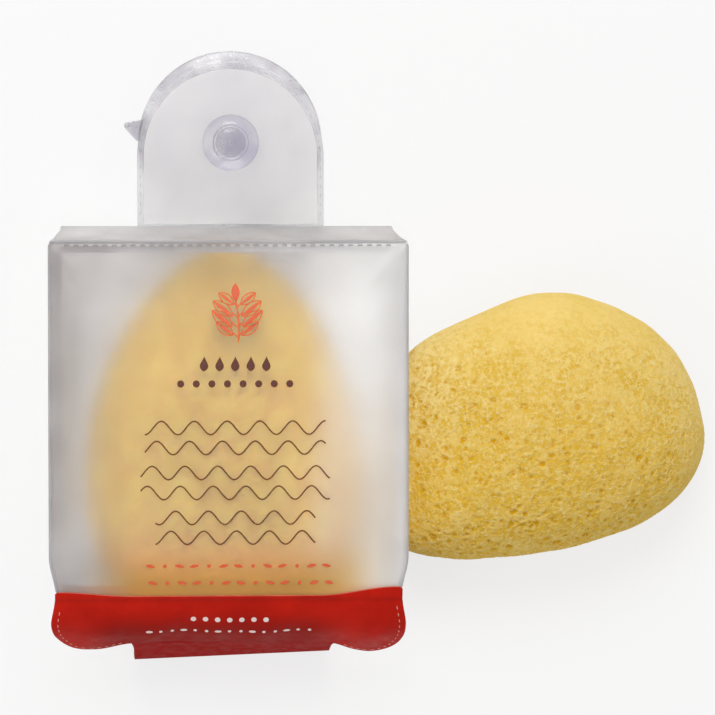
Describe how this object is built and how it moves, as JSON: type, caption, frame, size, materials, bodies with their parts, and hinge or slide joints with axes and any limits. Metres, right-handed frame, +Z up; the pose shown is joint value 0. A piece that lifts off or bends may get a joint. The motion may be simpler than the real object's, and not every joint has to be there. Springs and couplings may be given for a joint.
{
  "type": "konjac sponge",
  "caption": "Soft facial sponge in a frosted film pouch with a wrap-under flap and a suction-cup hanger, with a loose sponge beside it.",
  "frame": {"origin": "middle of the table area that the set covers, on the table", "axes": "+Z up from the table on which the pouch lies on its back, +Y towards the hanger tab, +X towards the loose sponge"},
  "size_m": [0.1592, 0.148, 0.036],
  "materials": {
    "frosted_film": "frosted, translucent",
    "clear_film": "clear, glossy",
    "clear_rubber": "clear, glossy, faint violet tint",
    "red_film": "glossy",
    "red_lining": "satin",
    "hook_tape": "stiff hooks",
    "loop_tape": "soft loops",
    "sponge": "open pores, matte"
  },
  "bodies": {
    "pouch": {"front_panel": "frosted_film", "back_panel": "frosted_film", "left_gusset": "frosted_film", "right_gusset": "frosted_film", "top_gusset": "frosted_film", "hanger_tab": "clear_film", "tab_facing": "frosted_film", "mouth_binding": "frosted_film", "back_hem": "frosted_film", "loop_patch": "loop_tape"},
    "flap": {"closure_flap": "red_film", "flap_lining": "red_lining"},
    "tongue": {"closure_tongue": "red_film", "tongue_lining": "red_lining", "hook_patch": "hook_tape"},
    "cup": {"suction_cup": "clear_rubber"},
    "packed_sponge": {"packed_sponge": "sponge"},
    "loose_sponge": {"loose_sponge": "sponge"}
  },
  "joints": [
    {"name": "flap_hinge", "type": "hinge", "parent": "pouch", "child": "flap", "pos_m": [-0.03695, -0.05703, 0.03219], "axis": [-1, 0, 0], "range_deg": [0, 120]},
    {"name": "tongue_fold", "type": "hinge", "parent": "flap", "child": "tongue", "pos_m": [-0.03575, -0.07168, 0.004], "axis": [-1, 0, 0], "range_deg": [0, 90]},
    {"name": "cup_swivel", "type": "hinge", "parent": "pouch", "child": "cup", "pos_m": [-0.03595, 0.05153, 0], "axis": [0, 0, 1], "continuous": true},
    {"name": "packed_sponge_play", "type": "slide", "parent": "pouch", "child": "packed_sponge", "axis": [0, -1, 0], "range_m": [-0.001, 0.002]},
    {"name": "loose_sponge_lift", "type": "slide", "parent": "pouch", "child": "loose_sponge", "axis": [0.7071, 0, 0.7071], "range_m": [0, 0.1]}
  ]
}
